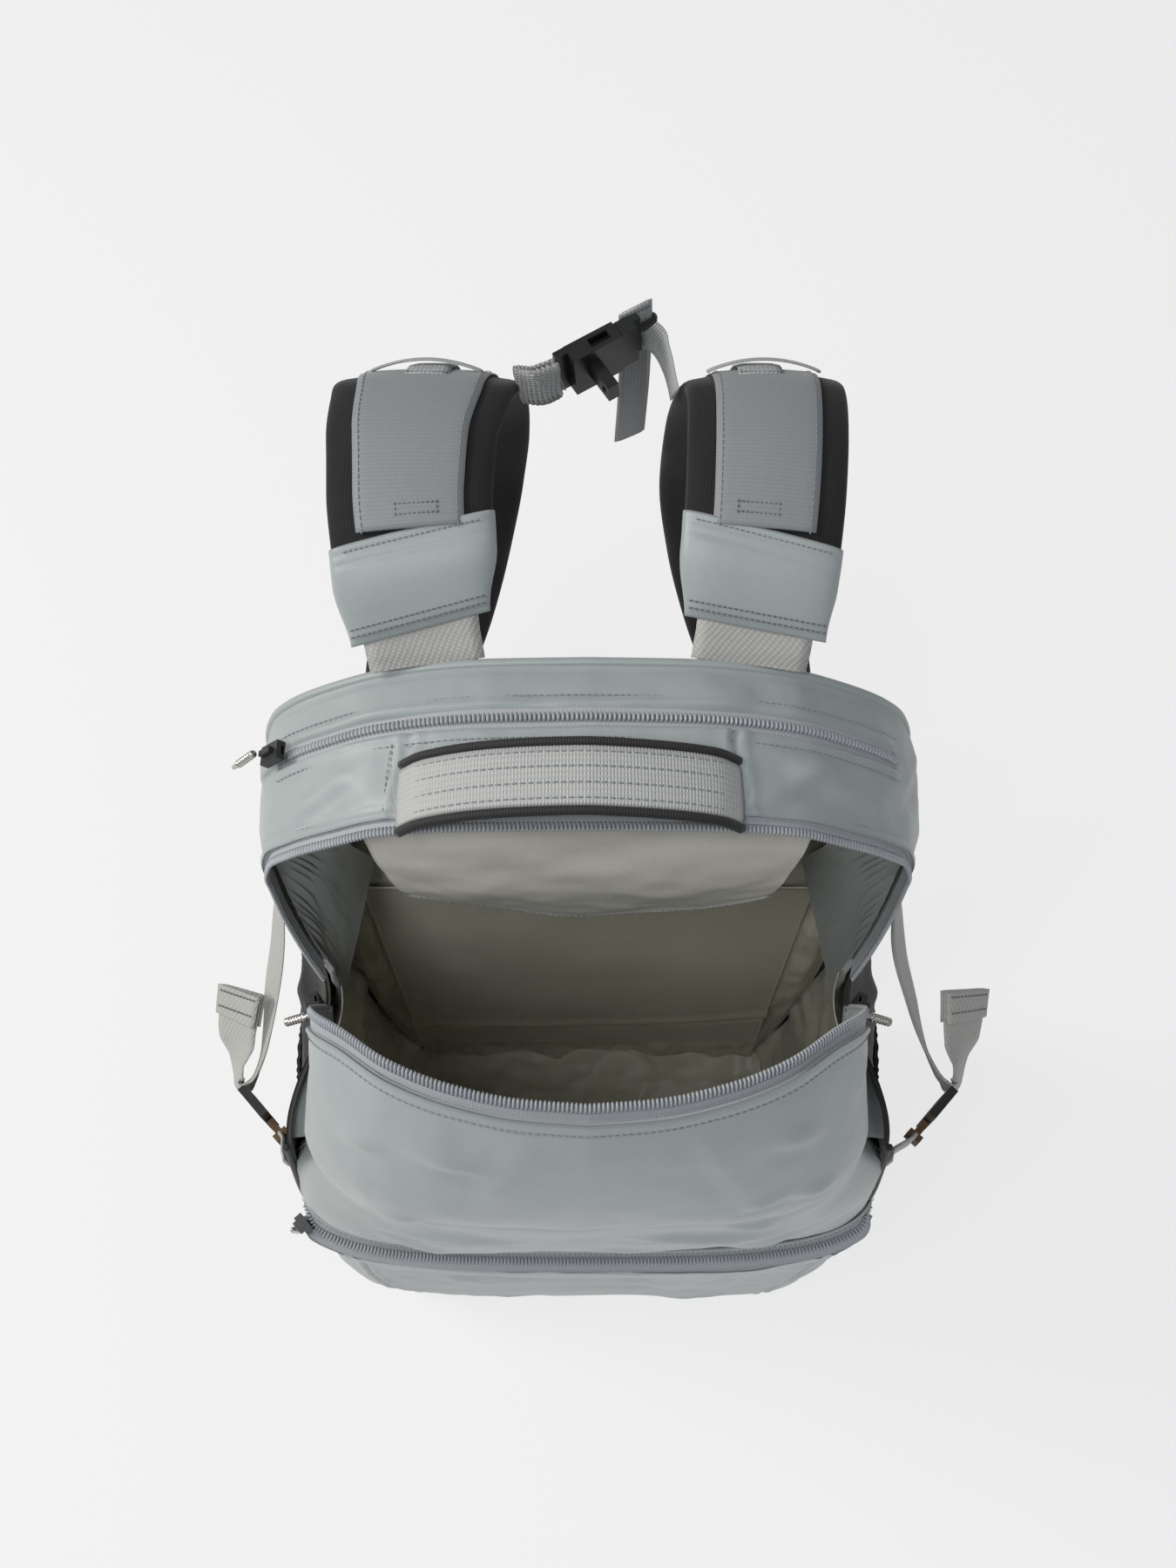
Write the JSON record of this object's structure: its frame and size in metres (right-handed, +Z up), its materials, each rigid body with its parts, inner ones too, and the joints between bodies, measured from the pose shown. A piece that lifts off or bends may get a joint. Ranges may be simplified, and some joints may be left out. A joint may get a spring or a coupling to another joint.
{
  "type": "daypack",
  "caption": "Upright daypack with a wide folding front flap, padded shoulder straps, sternum strap, grab handle, side compression straps and zips.",
  "frame": {"origin": "middle of the underside of the base, on the floor", "axes": "+Z up the bag, +Y towards the wearer's back (the back panel and shoulder straps are on this side), -Y the front with the flap, X across"},
  "size_m": [0.3594, 0.3599, 0.525],
  "materials": {
    "coated_shell": "smooth coated cloth with a slight sheen",
    "side_cloth": "black woven cloth",
    "pocket_stretch": "black stretch cloth",
    "back_mesh_pad": "black spacer mesh over foam",
    "frame_plastic": "matt sheet",
    "lining": "light-weight ripstop lining",
    "zip_tape": "woven tape with a nylon coil",
    "handle_webbing": "webbing with rows of stitching",
    "black_binding": "black grosgrain",
    "strap_pad": "black knit over foam",
    "strap_facing": "fine-ribbed woven cloth",
    "twill_webbing": "twill webbing",
    "narrow_webbing": "plain narrow webbing",
    "black_plastic": "moulded black plastic",
    "hook_metal": "dark bronze finish",
    "slider_metal": "dark painted metal",
    "pull_metal": "bright metal",
    "elastic": "crinkled elastic"
  },
  "bodies": {
    "pack_body": {"front_panel_lower": "coated_shell", "front_pocket_panel": "coated_shell", "side_panel_left": "side_cloth", "side_panel_right": "side_cloth", "handle_panel": "coated_shell", "shoulder_panel_left": "coated_shell", "shoulder_panel_right": "coated_shell", "rear_edge_panel": "coated_shell", "main_zip_rear_tape": "zip_tape", "laptop_zip_tape": "zip_tape", "base_panel": "coated_shell", "back_panel": "back_mesh_pad", "frame_sheet": "frame_plastic", "laptop_divider": "lining", "inner_apron": "lining", "inner_sleeve": "lining", "front_facing": "lining", "pocket_zip_tape": "zip_tape", "compression_webbing_left": "twill_webbing", "compression_webbing_right": "twill_webbing", "compression_anchor_tab_left": "twill_webbing", "compression_anchor_tab_right": "twill_webbing", "bottle_pocket_left": "pocket_stretch", "bottle_pocket_right": "pocket_stretch", "lower_webbing_left": "twill_webbing", "lower_webbing_right": "twill_webbing"},
    "flap": {"front_flap": "coated_shell", "main_zip_front_tape": "zip_tape"},
    "handle": {"grab_handle_webbing": "handle_webbing", "grab_handle_binding_rear": "black_binding", "grab_handle_binding_front": "black_binding"},
    "left_strap": {"strap_foam_left": "strap_pad", "strap_facing_left": "strap_facing", "strap_cap_left": "coated_shell", "strap_anchor_webbing_left": "twill_webbing", "daisy_webbing_left": "narrow_webbing", "sternum_elastic": "elastic", "sternum_buckle_female": "black_plastic"},
    "right_strap": {"strap_foam_right": "strap_pad", "strap_facing_right": "strap_facing", "strap_cap_right": "coated_shell", "strap_anchor_webbing_right": "twill_webbing", "daisy_webbing_right": "narrow_webbing", "sternum_webbing": "narrow_webbing", "sternum_tail": "narrow_webbing"},
    "sternum_male": {"sternum_buckle_male": "black_plastic"},
    "left_strap_lock": {"strap_ladder_lock_left": "black_plastic"},
    "right_strap_lock": {"strap_ladder_lock_right": "black_plastic"},
    "left_compression_lock": {"compression_buckle_left": "black_plastic", "compression_hook_left": "hook_metal"},
    "right_compression_lock": {"compression_buckle_right": "black_plastic", "compression_hook_right": "hook_metal"},
    "left_slider": {"main_slider_left": "slider_metal"},
    "right_slider": {"main_slider_right": "slider_metal"},
    "left_pull": {"main_pull_left": "pull_metal"},
    "right_pull": {"main_pull_right": "pull_metal"},
    "laptop_slider_body": {"laptop_slider": "slider_metal"},
    "laptop_pull_body": {"laptop_pull": "pull_metal"},
    "pocket_slider_body": {"pocket_slider": "slider_metal"},
    "pocket_pull_body": {"pocket_pull": "pull_metal"}
  },
  "joints": [
    {"name": "flap_fold", "type": "hinge", "parent": "pack_body", "child": "flap", "pos_m": [0, 0, 0.35], "axis": [1, 0, 0], "range_deg": [-35, 6]},
    {"name": "handle_tilt", "type": "hinge", "parent": "pack_body", "child": "handle", "pos_m": [-0.007, 0.038, 0.488], "axis": [1, 0, 0], "range_deg": [-2, 3]},
    {"name": "left_strap_swing", "type": "hinge", "parent": "pack_body", "child": "left_strap", "pos_m": [-0.0635, 0.0976, 0.482], "axis": [1, 0, 0], "range_deg": [-8, 24], "deforming": ["lower_webbing_left"]},
    {"name": "right_strap_swing", "type": "hinge", "parent": "pack_body", "child": "right_strap", "pos_m": [0.0635, 0.0976, 0.482], "axis": [1, 0, 0], "range_deg": [-8, 24], "deforming": ["lower_webbing_right"]},
    {"name": "sternum_release", "type": "slide", "parent": "right_strap", "child": "sternum_male", "axis": [0.8552, 0.5131, 0.0733], "range_m": [0, 0.02], "deforming": ["sternum_webbing"]},
    {"name": "left_strap_lock_tilt", "type": "hinge", "parent": "left_strap", "child": "left_strap_lock", "pos_m": [-0.108, 0.21, 0.208], "axis": [0.9703, -0.0723, -0.2306], "range_deg": [-15, 15]},
    {"name": "left_compression_lock_turn", "type": "hinge", "parent": "pack_body", "child": "left_compression_lock", "pos_m": [-0.13903, -0.05338, 0.3031], "axis": [0, 0, 1], "range_deg": [0, 8]},
    {"name": "left_slider_run", "type": "slide", "parent": "pack_body", "child": "left_slider", "axis": [-0.3086, 0.3497, 0.8846], "range_m": [0, 0.006]},
    {"name": "left_pull_lift", "type": "hinge", "parent": "left_slider", "child": "left_pull", "pos_m": [-0.1246, -0.0054, 0.3415], "axis": [-0.2738, 0.8579, -0.4347], "range_deg": [-30, 45]},
    {"name": "right_strap_lock_tilt", "type": "hinge", "parent": "right_strap", "child": "right_strap_lock", "pos_m": [0.108, 0.21, 0.208], "axis": [0.9703, 0.0723, 0.2306], "range_deg": [-15, 15]},
    {"name": "right_compression_lock_turn", "type": "hinge", "parent": "pack_body", "child": "right_compression_lock", "pos_m": [0.14803, -0.0541, 0.3031], "axis": [0, 0, 1], "range_deg": [-8, 1]},
    {"name": "right_slider_run", "type": "slide", "parent": "pack_body", "child": "right_slider", "axis": [0.3086, 0.3497, 0.8846], "range_m": [0, 0.006]},
    {"name": "right_pull_lift", "type": "hinge", "parent": "right_slider", "child": "right_pull", "pos_m": [0.1246, -0.0054, 0.3415], "axis": [-0.2738, -0.8579, 0.4347], "range_deg": [-30, 45]},
    {"name": "laptop_slider_run", "type": "slide", "parent": "pack_body", "child": "laptop_slider_body", "axis": [0.7111, 0, 0.7031], "range_m": [0, 0.012]},
    {"name": "laptop_pull_lift", "type": "hinge", "parent": "laptop_slider_body", "child": "laptop_pull_body", "pos_m": [-0.13443, 0.07, 0.45519], "axis": [0, 1, 0], "range_deg": [-5, 50]},
    {"name": "pocket_slider_run", "type": "slide", "parent": "pack_body", "child": "pocket_slider_body", "axis": [0.6615, -0.7206, -0.2075], "range_m": [0, 0.012]},
    {"name": "pocket_pull_lift", "type": "hinge", "parent": "pocket_slider_body", "child": "pocket_pull_body", "pos_m": [-0.14932, -0.08111, 0.21852], "axis": [-0.6615, 0.7206, 0.2075], "range_deg": [-5, 50]}
  ],
  "couplings": [
    {"joint": "right_strap_swing", "follows": "left_strap_swing", "ratio": 1}
  ]
}
